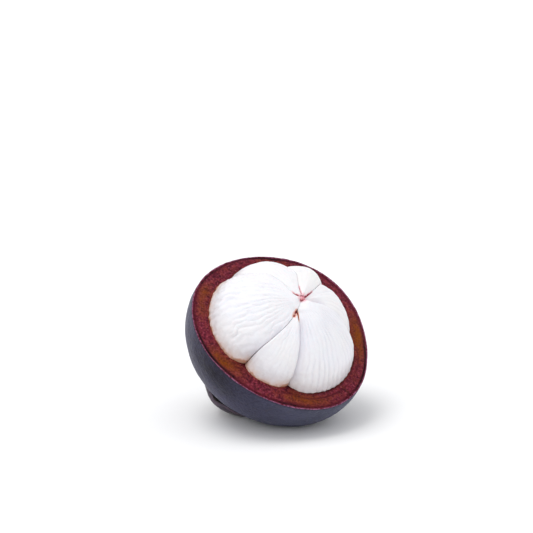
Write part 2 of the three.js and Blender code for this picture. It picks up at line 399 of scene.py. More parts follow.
def start_effect(name, inputs, outputs):
    """An empty group with its inputs, all of them numbers except a place, and its outputs."""
    tree = bpy.data.node_groups.new(name, "ShaderNodeTree")
    for title, value in inputs.items():
        kind = "NodeSocketVector" if title == "Place" else "NodeSocketFloat"
        socket = tree.interface.new_socket(title, in_out="INPUT", socket_type=kind)
        socket.default_value = value
    for title in outputs:
        tree.interface.new_socket(title, in_out="OUTPUT", socket_type="NodeSocketFloat")
    given = tree.nodes.new("NodeGroupInput")
    result = tree.nodes.new("NodeGroupOutput")
    return {title: Field(given.outputs[title]) for title in inputs}, result


def make_mottle():
    """Uneven tone: broad clouds, small blotches, specks and fine grain, each about -1 to 1."""
    inputs = {"Place": (0, 0, 0), "Cloud size": 12}
    given, result = start_effect("mottle", inputs, MOTTLE_TONES)
    per_cloud = 1 / (given["Cloud size"] * mm)
    for title, (finer, detail, roughness) in MOTTLE_TONES.items():
        tone = noise(given["Place"], per_cloud * finer, detail, roughness)
        plug(tone, result.inputs[title])
    return result.id_data


def make_streaks():
    """Fine lines: a tone that changes fast across and slowly along, and drifts a little."""
    inputs = {"Across": 0, "Along": 0, "Lines": 60, "Length": 0.5, "Waviness": 0.3}
    given, result = start_effect("streaks", inputs, ["Streaks"])
    across, along = given["Across"], given["Along"]
    drift = noise(vector(across * 4, along * 3, 1.7)) * given["Waviness"] / given["Lines"]
    place = vector((across + drift * 4) * given["Lines"], along / given["Length"], 4.2)
    plug(noise(place, 1, 3, 0.6), result.inputs["Streaks"])
    return result.id_data


MOTTLE = make_mottle()
STREAKS = make_streaks()
print("effects:", MOTTLE.name, "and", STREAKS.name)


# %% Tools for the materials
def use(tree, effect, **inputs):
    """Puts an effect into a material, and gives its outputs in their order."""
    node = tree.nodes.new("ShaderNodeGroup")
    node.node_tree = effect
    for name, value in inputs.items():
        plug(value, node.inputs[name.replace("_", " ")])
    return [Field(output) for output in node.outputs]


def start_material(name, cloud_size):
    """A new material, its tree, and its clouds (so many mm across), blotches, specks and grain."""
    material = bpy.data.materials.new(name)
    material.use_nodes = True
    tree = material.node_tree
    place = Field(tree.nodes.new("ShaderNodeTexCoord").outputs["Object"])
    return material, tree, *use(tree, MOTTLE, Place=place, Cloud_size=cloud_size)


def stored(tree, name):
    return Field(add_node(tree, "ShaderNodeAttribute", attribute_name=name).outputs["Fac"])


def plug_colour(value, socket):
    """Gives a socket its colour, which is a Field, or red, green and blue."""
    plug(value if isinstance(value, Field) else (*value, 1), socket)


def blend(share, first, second):
    """One colour over another, in a share that is a Field."""
    node = add_node(share.tree, "ShaderNodeMix", {0: clamp(share)}, data_type="RGBA")
    plug_colour(first, node.inputs[6])
    plug_colour(second, node.inputs[7])
    return Field(node.outputs[2])


def layered(base, *layers):
    """Lays colours over a base, one after another, each in its own share."""
    for share, over in layers:
        base = blend(share, base, over)
    return base


def finish_material(material, base, roughness, **constants):
    """Gives the shader its colour, its roughness and its constants."""
    shader = material.node_tree.nodes["Principled BSDF"]
    plug(base, shader.inputs["Base Color"])
    plug(roughness, shader.inputs["Roughness"])
    for name, value in constants.items():
        shader.inputs[name.replace("_", " ")].default_value = value
    return material


def add_relief(material, height, depth):
    """Fine relief, by turning the normal as a height in millimetres would."""
    tree = material.node_tree
    inputs = {"Height": height, "Distance": depth * mm, "Strength": 1}
    bump = add_node(tree, "ShaderNodeBump", inputs)
    plug(Field(bump.outputs[0]), tree.nodes["Principled BSDF"].inputs["Normal"])


# %% [markdown]
# ### Skin
# The wax makes the skin satin, not glossy, and a faint sheen brightens it where it is seen edge on.
# Clouds and blotches are thicker and thinner wax, with the reddish purple showing through, and a
# few pale specks are pores. Below the cut, patches are painted darker as shade, and a thin band
# just under the rim is darker too.


# %% Patches round the axis
def patchy(azimuth, patches):
    """How much of some patches there is: each has a middle and a half width in degrees."""
    amount = 0
    for middle, width, strength in patches:
        amount = bell(degrees_apart(azimuth, middle), width) * strength + amount
    return amount


# %% The skin's material
SHADED_PATCHES = [(286, 22, 1), (42, 15, 0.5), (140, 30, 0.6)]
BLOOM_PATCHES = [(350, 30, 0.55), (15, 18, 0.4), (200, 30, 0.3), (80, 20, 0.3)]


def make_skin():
    material, tree, clouds, blotches, specks, grain = start_material("skin", 9)
    below_rim, azimuth = stored(tree, "below_rim"), stored(tree, "azimuth")
    bloom = patchy(azimuth, BLOOM_PATCHES) * (0.8 + blotches * 0.5)
    rim_shade = bell(below_rim - 4.5, 6) * (patchy(azimuth, SHADED_PATCHES) + blotches * 0.3)
    base = layered(
        (0.02, 0.017, 0.038),
        (clouds * 0.5 + 0.5, (0.054, 0.05, 0.102)),
        (blotches * 0.7 - 0.15, (0.064, 0.03, 0.06)),
        (blotches * -0.5 - 0.1, (0.014, 0.012, 0.022)),
        (specks * 0.5, (0.08, 0.085, 0.14)),
        (specks * -0.7, (0.008, 0.005, 0.016)),
        (grain * 0.6 - 0.1, (0.012, 0.038, 0.046)),
        (bloom, (0.092, 0.098, 0.142)),
        (smooth(specks + blotches, 1.5, 2.2), (0.16, 0.12, 0.13)),
        # Painted shade below the rim, in patches.
        (rim_shade * 0.8, (0.004, 0.002, 0.008)),
        (bell(below_rim - 0.4, 0.4) * 0.6, (0.02, 0.014, 0.03)),
        (bell(below_rim, 0.15) * (0.6 + specks), (0.26, 0.1, 0.19)),
    )
    roughness = 0.45 + clouds * 0.05 + specks * 0.04
    add_relief(material, specks * 0.7 + grain * 0.4 + blotches, 0.08)
    sheen = {"Sheen_Weight": 0.16, "Sheen_Roughness": 0.12, "Sheen_Tint": (0.55, 0.55, 1, 1)}
    return finish_material(material, base, roughness, Specular_IOR_Level=0.15, **sheen)


# %% [markdown]
# ### Cut rind
# The cut face is crimson where the juice has gathered and rusty brown where it has dried. Its
# fibres run outwards, so the streaks are laid round the fruit. Two thin lines edge it: the bright
# cut skin with a dark line inside it, and dark red beside the flesh.

# %% Where the cut face has dried, cracked and soaked
# The middle of each patch round the axis in degrees, its half width in degrees, how strong it is.
DRY_PATCHES = [(287, 15, 0.9), (351, 16, 1), (72, 20, 0.9), (233, 15, 0.8), (158, 10, 0.6)]
CRACKS = [(277, 20, 1), (48, 22, 0.9), (165, 18, 0.9), (338, 12, 0.5), (212, 12, 0.4)]
SOAKED_PATCHES = [
    (8, 26, 1), (52, 14, 0.8), (338, 3, 1),
    (297, 4, 1), (190, 18, 0.6), (105, 25, 0.6),
]


# %% The cut face's material
def make_cut_rind():
    material, tree, clouds, blotches, specks, grain = start_material("cut_rind", 8)
    across, azimuth = stored(tree, "across_cut"), stored(tree, "azimuth")
    [fibres] = use(tree, STREAKS, Across=azimuth / 360, Along=across, Lines=300, Length=0.3)
    dry = patchy(azimuth, DRY_PATCHES) * bell(across - 0.5, 0.42)
    dry = dry + clouds * 0.3 + blotches * 0.4
    base = layered(
        (0.08, 0.003, 0.014),
        (blotches + 0.5, (0.25, 0.024, 0.05)),
        (specks * 1.2 - 0.1, (0.36, 0.07, 0.1)),
        (dry * 0.9, (0.23, 0.052, 0.003)),
        (fibres * 0.8 - 0.2, (0.3, 0.08, 0.03)),
        (specks * -1.1 - 0.15, (0.04, 0.002, 0.008)),
        (grain * -0.8 - 0.1, (0.05, 0.004, 0.01)),
    )

    # Beside the skin the rind has cracked, and outside the crack stands the pale torn edge.
    crack = patchy(azimuth, CRACKS) + blotches * 0.6 + specks * 0.3
    torn = clamp(0.65 + specks * 1.5 - blotches * 0.9)
    base = layered(
        base,
        (bell(across - 0.1, 0.12) * (0.7 + blotches * 0.5), (0.12, 0.003, 0.018)),
        (bell(across - 0.14, 0.07) * clamp(0.25 + crack), (0.006, 0.001, 0.004)),
        (bell(across - 0.01, 0.045) * torn, (0.4, 0.15, 0.27)),
    )

    # Beside the flesh the face is rusty, or soaked dark red with a furrow a little way off.
    soaked = patchy(azimuth, SOAKED_PATCHES) + blotches * 0.4
    base = layered(
        base,
        (smooth(across, 0.88, 1) * (0.5 + specks * 0.4), (0.4, 0.09, 0.03)),
        (smooth(across, 0.8, 0.97) * soaked, (0.06, 0.003, 0.006)),
        (bell(across - 0.64, 0.05) * soaked * 0.8, (0.08, 0.003, 0.012)),
    )
    add_relief(material, fibres + specks + grain * 0.5, 0.12)
    return finish_material(material, base, 0.6 + specks * 0.1, Specular_IOR_Level=0.1)


# %% [markdown]
# ### Flesh
# White flesh scatters light inside it, which subsurface scattering gives. The valleys between its
# fine ridges, and the folds beside a neighbour that stands proud, are painted a cool grey shade.
# Low down it is painted a darker grey shade, and there it is also thin enough to let the dark rind
# show through; juice has stained its edge. Beside the core the seams are crimson or rusty.


# %% The flesh's material
def make_flesh():
    material, tree, clouds, blotches, specks, _ = start_material("flesh", 10)
    # Painted shade low down, where the flesh is also thin enough to let the dark rind show through.
    thin = stored(tree, "thin") * (0.45 + blotches * 0.2)
    soaked = stored(tree, "juice") * (0.85 + blotches * 0.4)
    rust = stored(tree, "rust")
    stain = stored(tree, "stain") * (1 + specks * 0.7)
    halo = blend(rust, (0.85, 0.42, 0.47), (0.86, 0.42, 0.16))
    heart = blend(rust, (0.3, 0.012, 0.04), (0.26, 0.03, 0.01))
    base = layered(
        (0.84, 0.835, 0.88),
        (stored(tree, "warm") + clouds * 0.3, (0.87, 0.85, 0.81)),
        # Painted cool grey shade in the valleys between the ridges and in the folds beside a proud
        # neighbour.
        (stored(tree, "valley_shade") * 0.45, (0.7, 0.68, 0.75)),
        (thin, (0.52, 0.47, 0.47)),
        (smooth(soaked, 0, 0.8) * 0.6, (0.82, 0.64, 0.55)),
        (smooth(soaked, 0.55, 1.3) * 0.8, (0.56, 0.25, 0.13)),
        (smooth(stain, 0.05, 0.5) * 0.8, halo),
        (smooth(stain, 0.45, 0.9), heart),
    )
    roughness = 0.42 + specks * 0.05
    add_relief(material, specks + blotches * 2, 0.03)
    inner = {"Subsurface_Weight": 0.3, "Subsurface_Scale": 0.7 * mm}
    inner["Subsurface_Radius"] = (1, 0.8, 0.8)
    return finish_material(material, base, roughness, Specular_IOR_Level=0.3, **inner)


# %% [markdown]
# ### Core, sepals and stem
# The core is moist pink tissue. The sepals are leathery, dark purple brown with tan edges and
# faint veins, and greener underneath. The stem is woody, yellow green with a brown, cracked end.


# %% Their materials
def make_core():
    material, _, clouds, blotches, _, grain = start_material("core_tissue", 1.6)
    base = layered(
        (0.8, 0.38, 0.43),
        (clouds * 1.2 + 0.4, (0.45, 0.04, 0.09)),
        (blotches * 0.6, (0.88, 0.7, 0.68)),
    )
    add_relief(material, blotches, 0.05)
    inner = {"Subsurface_Weight": 0.25, "Subsurface_Scale": mm}
    return finish_material(material, base, 0.4 + grain * 0.06, **inner)


def make_sepal():
    material, tree, clouds, blotches, specks, grain = start_material("sepal", 7)
    across, along = stored(tree, "across"), stored(tree, "along")
    [veins] = use(tree, STREAKS, Across=across, Along=along, Lines=16, Length=0.6)
    green = smooth(along, 0.6, 0.05) * 0.5 + clouds * 0.3 + blotches * 0.2
    at_side = smooth(absolute(across), 0.93, 1)
    margin = larger(at_side, smooth(along, 0.95, 1))
    base = layered(
        (0.036, 0.024, 0.046),
        (clouds * 0.7 + 0.3, (0.048, 0.032, 0.038)),
        (blotches * 0.6 - 0.1, (0.07, 0.028, 0.045)),
        (green - 0.1, (0.075, 0.065, 0.018)),
        (veins * 0.35, (0.1, 0.06, 0.045)),
        (specks * 0.5 - 0.1, (0.016, 0.01, 0.016)),
        (margin * (0.6 + blotches * 0.3), (0.2, 0.14, 0.19)),
        (stored(tree, "underside") * 0.5, (0.13, 0.09, 0.035)),
    )
    roughness = 0.55 + grain * 0.07
    add_relief(material, veins * 1.5 + specks + blotches * 1.5, 0.08)
    sheen = {"Sheen_Weight": 0.15, "Sheen_Roughness": 0.5}
    return finish_material(material, base, roughness, Specular_IOR_Level=0.4, **sheen)


def make_stem():
    material, tree, clouds, _, _, grain = start_material("stem", 3)
    round_it, along = stored(tree, "round_stem"), stored(tree, "along")
    [bark] = use(tree, STREAKS, Across=round_it, Along=along, Lines=26, Length=0.35)
    base = layered(
        (0.13, 0.12, 0.025),
        (along * 1.3 - 0.2 + clouds * 0.4, (0.2, 0.085, 0.03)),
        (bark * 0.5, (0.12, 0.05, 0.02)),
        (smooth(along, 0.86, 1) * 0.8, (0.07, 0.035, 0.022)),
        (grain * 0.4, (0.38, 0.24, 0.12)),
    )
    add_relief(material, bark * 2 + grain, 0.1)
    return finish_material(material, base, 0.68 + grain * 0.08)


SKIN = make_skin()
CUT_RIND = make_cut_rind()
FLESH = make_flesh()
CORE = make_core()
SEPAL = make_sepal()
STEM = make_stem()
print("materials:", [material.name for material in bpy.data.materials])

# %% [markdown]
# ## Flesh, six segments of one rule
# A segment is a wedge of a squashed ball. Its back bulges, its sides meet the neighbours in
# grooves, and at the top it turns down to the core. All six follow one rule with other sizes, so
# one tree grows them: the seams where the wedge starts and ends, how far each seam veers near
# the top, how deep its groove is, and how far the back bulges.
#
# Fine ridges run from the core outwards, like the folds of a fan. They are part of the mesh,
# because they catch the light along the whole back.

# %% Sizes of the segments
# In order round the axis, each with the seam where it starts. Of a seam: how far it veers near the
# top, within what reach and how abruptly; how deep its groove is at the cut, what share of that is
# left on top, and the angle from the top where it starts to deepen; and the step, by which the
# segment after it stands proud of the one before, with the angles from the top where the step
# starts and ends. Of a segment: how far its back bulges, and how many ridges it has, how high and
# how wavy.
SEGMENTS = [
    {
        "from": -22, "veer": (-58, 10.5, 1), "groove": (2.8, 0.4, 56), "step": (-1.0, 14, 79),
        "bulge": 1.01, "ridges": (17, 0.6, 0.35),
    },
    {
        "from": 66, "veer": (-30, 9.5, 2), "groove": (2.0, 0.2, 26), "step": (-1.4, 0, 27),
        "bulge": 0.94, "ridges": (7, 0.2, 0.4),
    },
    {
        "from": 119, "veer": (-7, 24, 2), "groove": (2.0, 0.45, 26), "step": (0, 0, 90),
        "bulge": 1.01, "ridges": (5, 0.08, 0.4),
    },
    {
        "from": 159, "veer": (12, 18, 2), "groove": (2.6, 0.15, 22), "step": (0, 0, 90),
        "bulge": 1.0, "ridges": (7, 0.12, 0.5),
    },
    {
        "from": 204.5, "veer": (32, 11.5, 2), "groove": (1.7, 0.15, 26), "step": (0, 0, 90),
        "bulge": 1.007, "ridges": (14, 0.85, 0.9),
    },
    {
        "from": 296.5, "veer": (21.5, 43, 2), "groove": (3.4, 0.14, 48), "step": (0.8, 28, 95),
        "bulge": 0.945, "ridges": (8, 0.24, 0.75),
    },
]
SMALL_TIP = 13.2  # degrees from the top, where the small last segment ends
# Above that tip its two neighbours have grown together along one line, with no groove.
BRIDGE = 316

# The stain in each seam, in the same order: how strong, how rusty, from and to which angle from
# the top in degrees, how wide in millimetres.
STAINS = [
    (1.0, 0.8, 12.5, 20.5, 0.28),
    (0.5, 0.6, 3, 12.5, 0.4),
    (1.05, 0.0, 2, 14, 0.33),
    (0.75, 0.0, 3.5, 12, 0.3),
    (1.1, 0.1, 3, 8.5, 0.42),
    (1.1, 0.55, 12, 18.5, 0.75),
]

SIDES = ("before", "after")


# %% Rules that the flesh and the hollow share
def seam_at(start, veer, reach, power, from_top):
    near_top = larger(from_top, NEAR_TOP)
    return start + veer * calculate("EXPONENT", -((near_top / reach) ** power))


def outwards(from_top):
    """The direction out of the squashed ball, as a step from the axis and a step up."""
    out, up = sine(from_top) / BALL_RADIUS, cosine(from_top) / BALL_HALF_HEIGHT
    length = (out * out + up * up) ** 0.5
    return out / length, up / length


def near(distance, spread):
    """1 at no distance, and falling to 0 at the spread."""
    share = clamp(1 - distance / spread)
    return share * share


def groove_dip(groove, radius, distance):
    """How far the surface dips at a distance from a seam."""
    opening = 1 - bell(radius, DIMPLE_RADIUS)
    return mix(DIMPLE_DEPTH, groove, opening) * near(distance, GROOVE_SPREAD)


# %% The rules of a segment's back
DRAWN_IN = 0.5  # how far the flesh stays off the rind below the cut
DEEPENING = 28  # degrees over which a groove comes to its full depth
STEP_RISE = 10  # degrees over which a step begins
STEP_FALL = 13  # and over which it ends


def bridged(size, side, from_top):
    """How far a seam has turned into the bridge over the small segment's tip, from 0 to 1."""
    past_tip = smooth(from_top, SMALL_TIP - 2.5, SMALL_TIP + 0.3)
    return size[f"Bridge share {side}"] * (1 - past_tip)


def seams_at(size, from_top):
    """The azimuths of the two seams at an angle from the top."""
    seams = []
    for side in SIDES:
        line = [size[f"{what} {side}"] for what in ("Seam", "Veer", "Reach", "Power")]
        to_bridge = bridged(size, side, from_top)
        seams.append(mix(seam_at(*line, from_top), size[f"Bridge {side}"], to_bridge))
    return seams


def bulge_at(size, azimuth):
    """How far the back bulges: the segment's own bulge in its middle, the neighbours' in theirs."""
    middle = (size["Seam before"] + size["Seam after"]) / 2
    rise = smooth(azimuth, size["Middle before"], middle)
    bulge = mix(size["Bulge before"], size["Bulge"], rise)
    return mix(bulge, size["Bulge after"], smooth(azimuth, middle, size["Middle after"]))


def step_at(size, side, from_top):
    """How far the segment stands proud of its neighbour, or below it."""
    first, last = size[f"Step from {side}"], size[f"Step to {side}"]
    shown = smooth(from_top, first, first + STEP_RISE)
    shown = shown * (1 - smooth(from_top, last - STEP_FALL, last))
    return size[f"Step {side}"] * shown


def gutter_beside(size, side, from_top, distance):
    """How deep the fold is beside a neighbour that stands proud."""
    lower = larger(-step_at(size, side, from_top), 0)
    return lower * bell(distance, 2.2) * 0.5


def dip_beside(size, side, from_top, radius, distance):
    """How far the back dips beside one seam, which may be a step as well as a groove."""
    start = size[f"Deeper from {side}"]
    shallow = mix(size[f"Groove on top {side}"], 1, smooth(from_top, start, start + DEEPENING))
    dip = groove_dip(size[f"Groove {side}"] * shallow, radius, distance)
    dip = dip * (1 - bridged(size, side, from_top) * 0.8)
    proud = larger(step_at(size, side, from_top), 0)
    rounding = near(distance, 1.8) * 0.75 - near(distance, GROOVE_SPREAD)
    return dip + proud * rounding + gutter_beside(size, side, from_top, distance)


def stains_at(size, from_top, radius, distances):
    """How strong the stain is beside the seams and round the core, and how rusty."""
    stain, rust = 0, 0
    for side, distance in zip(SIDES, distances):
        first, last = size[f"Stain from {side}"], size[f"Stain to {side}"]
        starting = smooth(from_top, first - 1.5, first + 1)
        shown = starting * (1 - smooth(from_top, last - 3, last + 3))
        mark = size[f"Stain strength {side}"] * shown * bell(distance, size[f"Stain width {side}"])
        stain = mark + stain
        rust = mark * size[f"Stain rust {side}"] + rust
    flush = bell(larger(radius - MOUTH_RADIUS, 0), 1) * 0.42
    stain = larger(stain, flush)
    return stain, rust / (stain + 0.001)


def ridges_at(size, from_top, share):
    """The height of the fine ridges, and how much painted shade a point gets in the valley between
    them.
    """
    wave = noise(vector(share * 3, from_top / 22, size["Seed"])) * size["Waviness"]
    crest = absolute(sine((share * size["Ridges"] + wave) * 180))
    here = clamp(0.6 + noise(vector(share * 5, from_top / 26, size["Seed"] + 3)) * 0.6)
    across = share * size["Ridges"] * 2 + from_top / 20
    crinkle = noise(vector(across, from_top / 9, size["Seed"] + 9), 1, 3) * size["Waviness"]
    even = 1.2 - size["Waviness"] * 0.7
    shown = smooth(from_top, 8, 34) * (1 - smooth(from_top, CUT_ANGLE, CUT_ANGLE + 8)) * here
    ridge = size["Ridge height"] * shown * ((crest - 0.7) * even + crinkle * 0.5)
    return ridge, clamp(1 - crest * 1.6) * shown * even


def back_at(size, from_top, share):
    """The radius, azimuth and height of the back, and what is stored on it."""
    seams = seams_at(size, from_top)
    azimuth = mix(seams[0], seams[1], share)
    bulge = bulge_at(size, azimuth)
    plain_radius = BALL_RADIUS * sine(from_top)
    distances = [
        plain_radius * (azimuth - seams[0]) * DEG,
        plain_radius * (seams[1] - azimuth) * DEG,
    ]
    dips = [
        dip_beside(size, side, from_top, plain_radius, distance)
        for side, distance in zip(SIDES, distances)
    ]
    stain, rust = stains_at(size, from_top, plain_radius, distances)
    ridge, valley_shade = ridges_at(size, from_top, share)
    ridge = ridge * (1 - near(smaller(*distances), 1.6))
    # The fold beside a neighbour that stands proud gets painted shade as well.
    for side, distance in zip(SIDES, distances):
        valley_shade = larger(valley_shade, gutter_beside(size, side, from_top, distance) * 2.8)
    # The broad unevenness reads the place on the ball, so both sides of a seam share it.
    place = polar(plain_radius, azimuth, BALL_HALF_HEIGHT * cosine(from_top))
    uneven = noise(place, 1 / 9) * 0.3 + noise(place, 1 / 3.2) * 0.06 - 0.17
    uneven = uneven * (1 - smooth(from_top, CUT_ANGLE - 8, CUT_ANGLE + 4)) + 0.04
    # Just under the cut the back draws in, so that it stays clear of the hollow it sits in.
    uneven = uneven - DRAWN_IN * smooth(from_top, CUT_ANGLE, CUT_ANGLE + 3)
    lift = uneven + ridge - larger(*dips) - stain * 0.3
    out, up = outwards(from_top)
    radius = plain_radius * bulge + lift * out
    height = BALL_CENTRE + BALL_HALF_HEIGHT * cosine(from_top) * bulge + lift * up
    return radius, azimuth, height, {"stain": stain, "rust": rust, "valley_shade": valley_shade}


# %% The segment's tree
SEAM_GAP = 0.006  # between the edges of two neighbours
WALL_GAP = 0.6  # how far a side wall keeps back from the seam, below the edge it hangs from
WALL_SHARE = 0.07  # of the rows, on each side, that make the side wall
BACK_END = 0.88  # of the way along, where the back meets the core
CORE_END = 0.95  # and where the core side ends at the mouth
CROWDING = 1.15  # above 1, the points lie closer together near the top
LINE_SIZES = ("Seam", "Veer", "Reach", "Power")
DIP_SIZES = ("Groove", "Groove on top", "Deeper from", "Step", "Step from", "Step to")
STAIN_SIZES = ("strength", "rust", "from", "to", "width")
NEIGHBOUR_SIZES = LINE_SIZES + DIP_SIZES + ("Bridge share", "Bridge", "Middle", "Bulge")


def segment_inputs():
    names = [f"{what} {side}" for side in SIDES for what in NEIGHBOUR_SIZES]
    names += [f"Stain {what} {side}" for side in SIDES for what in STAIN_SIZES]
    names += ["Bulge", "Top angle", "Throat height", "Ridges", "Ridge height", "Waviness"]
    names += ["Juice", "Warmth", "Seed", "Columns", "Rows"]
    return dict.fromkeys(names, 1.0)


def make_segment_tree():
    tree, size = start_tree("flesh segment", segment_inputs())
    flat, along, row = grid(tree, size["Columns"], size["Rows"])

    # Along: down the back, up along the core, and out over the mouth's wall to where it started.
    back = clamp(along / BACK_END)
    up = clamp((along - BACK_END) / (CORE_END - BACK_END))
    out = clamp((along - CORE_END) / (1 - CORE_END))
    end_angle = 180 - math.asin(CORE_BORE * 1.1 / BALL_RADIUS) / DEG
    # Across: the rows at both sides make the side walls, from the wall's middle to its edge.
    share = clamp((row - WALL_SHARE) / (1 - 2 * WALL_SHARE))
    grown = clamp(smaller(row, 1 - row) / WALL_SHARE)

    from_top = mix(size["Top angle"], end_angle, back ** CROWDING)
    radius, azimuth, height, marks = back_at(size, from_top, share)
    mouth_radius, _, mouth_height, _ = back_at(size, size["Top angle"], share)
    foot = BALL_CENTRE - BALL_HALF_HEIGHT + DIMPLE_DEPTH
    core_height = mix(foot, size["Throat height"], up)
    core_angle = 90 - 90 * (core_height - BALL_CENTRE) / BALL_HALF_HEIGHT
    turning = mix(core_angle, size["Top angle"], out)
    seams = seams_at(size, turning)
    on_core = smooth(up, 0, 0.1)
    radius = mix(mix(radius, CORE_BORE, on_core), mouth_radius, out)
    height = mix(mix(height, core_height, on_core), mouth_height, out)
    azimuth = mix(azimuth, mix(seams[0], seams[1], share), on_core)
    back_seams = seams_at(size, from_top)
    wide = mix(back_seams[1] - back_seams[0], seams[1] - seams[0], on_core)

    # The side walls shrink to their middle, and keep back from the neighbour's on the way.
    flat_azimuth = mix(size["Seam before"], size["Seam after"], share)
    radius = mix(BALL_RADIUS * 0.5, radius, grown)
    height = mix(BALL_CENTRE, height, grown)
    azimuth = mix(flat_azimuth, azimuth, grown)
    inside = 1 - smooth(grown, 0.85, 1)
    clearance = (inside * WALL_GAP + SEAM_GAP) / DEG / larger(radius, 0.3)
    wide = mix(size["Seam after"] - size["Seam before"], wide, grown)
    clearance = smaller(clearance, wide * 0.35)
    azimuth = azimuth + clearance * (1 - share * 2)

    above_cut = larger(height, 0)
    pooled = bell(share * 1.6, 0.4) + bell((1 - share) * 1.6, 0.4)
    edge = bell(above_cut, 2.8) * (0.5 + pooled * 0.2) + bell(above_cut, 0.7) * 0.7
    marks["juice"] = size["Juice"] * (edge + bell(above_cut, 5) * pooled * 0.25)
    # Painted shade low down on the back, reaching higher where juice pools by the seams; the flesh
    # there is also thin.
    marks["thin"] = bell(above_cut, 5 + size["Juice"] * 3 * pooled)
    marks["warm"] = size["Warmth"]
    shaped = move_to(store(flat, **marks), polar(radius, azimuth, height))
    lean_and_finish([shaped], FLESH)
    return tree


# %% Grow the six segments
JUICE = [0.3, 0.1, 0, 0.1, 1.0, 0.95]  # how far the rind's juice has soaked each lower edge
WARMTH = [0.15, 0.4, 0.55, 0.3, 0.15, 0.25]  # how creamy each segment is
POINT_SPACING = 0.3  # across a segment
POINTS_ALONG = 190  # from its top, round it, and back to its top


def seam_sizes(seam, side, step_sign):
    """The sizes of one seam, as the segment on one side of it knows them."""
    shape = SEGMENTS[seam % len(SEGMENTS)]
    start = shape["from"] + 360 * (seam // len(SEGMENTS))
    sizes = dict(zip(LINE_SIZES, (start, *shape["veer"])))
    sizes.update(zip(DIP_SIZES, (*shape["groove"], *shape["step"])))
    sizes["Step"] *= step_sign
    stain = zip((f"Stain {what}" for what in STAIN_SIZES), STAINS[seam % len(SEGMENTS)])
    sizes.update(stain)
    return {f"{name} {side}": value for name, value in sizes.items()}


def segment_sizes(k):
    last = len(SEGMENTS) - 1
    shape = SEGMENTS[k]
    sizes = {"Seed": 11.0 * k, "Columns": POINTS_ALONG, "Bulge": shape["bulge"]}
    sizes.update({"Juice": JUICE[k], "Warmth": WARMTH[k]})
    sizes["Top angle"] = math.asin(MOUTH_RADIUS / BALL_RADIUS) / DEG
    sizes["Throat height"] = BALL_CENTRE + BALL_HALF_HEIGHT - DIMPLE_DEPTH - MOUTH_DEPTH
    if k == last:
        sizes["Top angle"] = SMALL_TIP
        sizes["Throat height"] = BALL_CENTRE
    sizes.update(zip(("Ridges", "Ridge height", "Waviness"), shape["ridges"]))
    sizes.update(seam_sizes(k, "before", 1))
    sizes.update(seam_sizes(k + 1, "after", -1))
    sizes["Bridge before"] = BRIDGE - 360
    sizes["Bridge after"] = BRIDGE
    sizes["Bridge share before"] = k == 0
    sizes["Bridge share after"] = k == last - 1
    for side, other, away in (("before", k - 1, -0.5), ("after", k + 1, 0.5)):
        start, end = SEGMENTS[other % (last + 1)], SEGMENTS[(other + 1) % (last + 1)]
        width = (end["from"] - start["from"]) % 360
        sizes[f"Middle {side}"] = sizes[f"Seam {side}"] + width * away
        sizes[f"Bulge {side}"] = start["bulge"]
    width = (sizes["Seam after"] - sizes["Seam before"]) * DEG * BALL_RADIUS
    sizes["Rows"] = round(width / POINT_SPACING)
    return sizes


segment_tree = make_segment_tree()
for k in range(len(SEGMENTS)):
    nodes = [f"flesh_segment_{k + 1}"]
    grow(f"white_segment_{k + 1}", segment_tree, segment_sizes(k), nodes)


# %% [markdown]
# ## Rind, a cup in three patches
# The cup is skin outside, cut across the top, and lies close round the flesh inside. One grid
# could wrap all of it, but each part has its own rule and its own finish, so each is a patch and
# the patches are merged where their edges meet. A thin lip of skin stands up round the cut,
# because the skin is tougher than what lies under it, with a shallow line inside it.


# %% The rind's tree
RIM_DROP = 0.2  # the cut slopes down a little towards the skin
RIND_COLUMNS = 430  # points round the rind, the same in each patch
SKIN_ROWS = 110
CUT_ROWS = 30
HOLLOW_ROWS = 60
FIRST_MIDDLE = (SEGMENTS[0]["from"] + SEGMENTS[1]["from"]) / 2  # where the patches start


def skin_point(from_stem, azimuth, lip):
    """The radius and height of the skin: uneven round its girth, and softly dented."""
    uneven = 0
    for count, out, towards in GIRTH_SIDES:
        uneven = cosine((azimuth - towards) * count) * out + uneven
    spread = sine(from_stem)
    radius = (BODY_RADIUS + uneven * spread * spread) * spread
    height = BODY_CENTRE - BODY_HALF_HEIGHT * cosine(from_stem)
    place = polar(radius, azimuth, height)
    dent = noise(place, 1 / 8) * 0.12 + noise(place, 1 / 2.4) * 0.03 - 0.12
    radius = radius + dent * spread
    height = height - dent * cosine(from_stem)
    height = height + (lip - RIM_DROP) * smooth(from_stem, RIM_ANGLE - 2, RIM_ANGLE)
    return radius, height


def inner_wall(from_top, azimuth):
    """The radius and height of the hollow: the flesh's shape, before it draws in below the cut."""
    count = len(SEGMENTS)
    starts = [shape["from"] for shape in SEGMENTS] + [SEGMENTS[0]["from"] + 360]
    middles = [(starts[k] + starts[k + 1]) / 2 for k in range(count)]
    middles.append(middles[0] + 360)
    bulge = SEGMENTS[0]["bulge"]
    for k in range(count):
        step = SEGMENTS[(k + 1) % count]["bulge"] - SEGMENTS[k]["bulge"]
        bulge = smooth(azimuth, middles[k], middles[k + 1]) * step + bulge
    plain_radius = BALL_RADIUS * sine(from_top)
    dip = 0
    for shape in SEGMENTS:
        seam = seam_at(shape["from"], *shape["veer"], from_top)
        apart = absolute(degrees_apart(azimuth, seam))
        distance = plain_radius * apart * DEG
        dip = larger(groove_dip(shape["groove"][0], plain_radius, distance), dip)
    out, up = outwards(from_top)
    radius = plain_radius * bulge - dip * out
    height = BALL_CENTRE + BALL_HALF_HEIGHT * cosine(from_top) * bulge - dip * up
    # Under the core all come together in one point.
    foot = BALL_CENTRE - BALL_HALF_HEIGHT
    return radius, mix(height, foot, smooth(from_top, 176, 180))


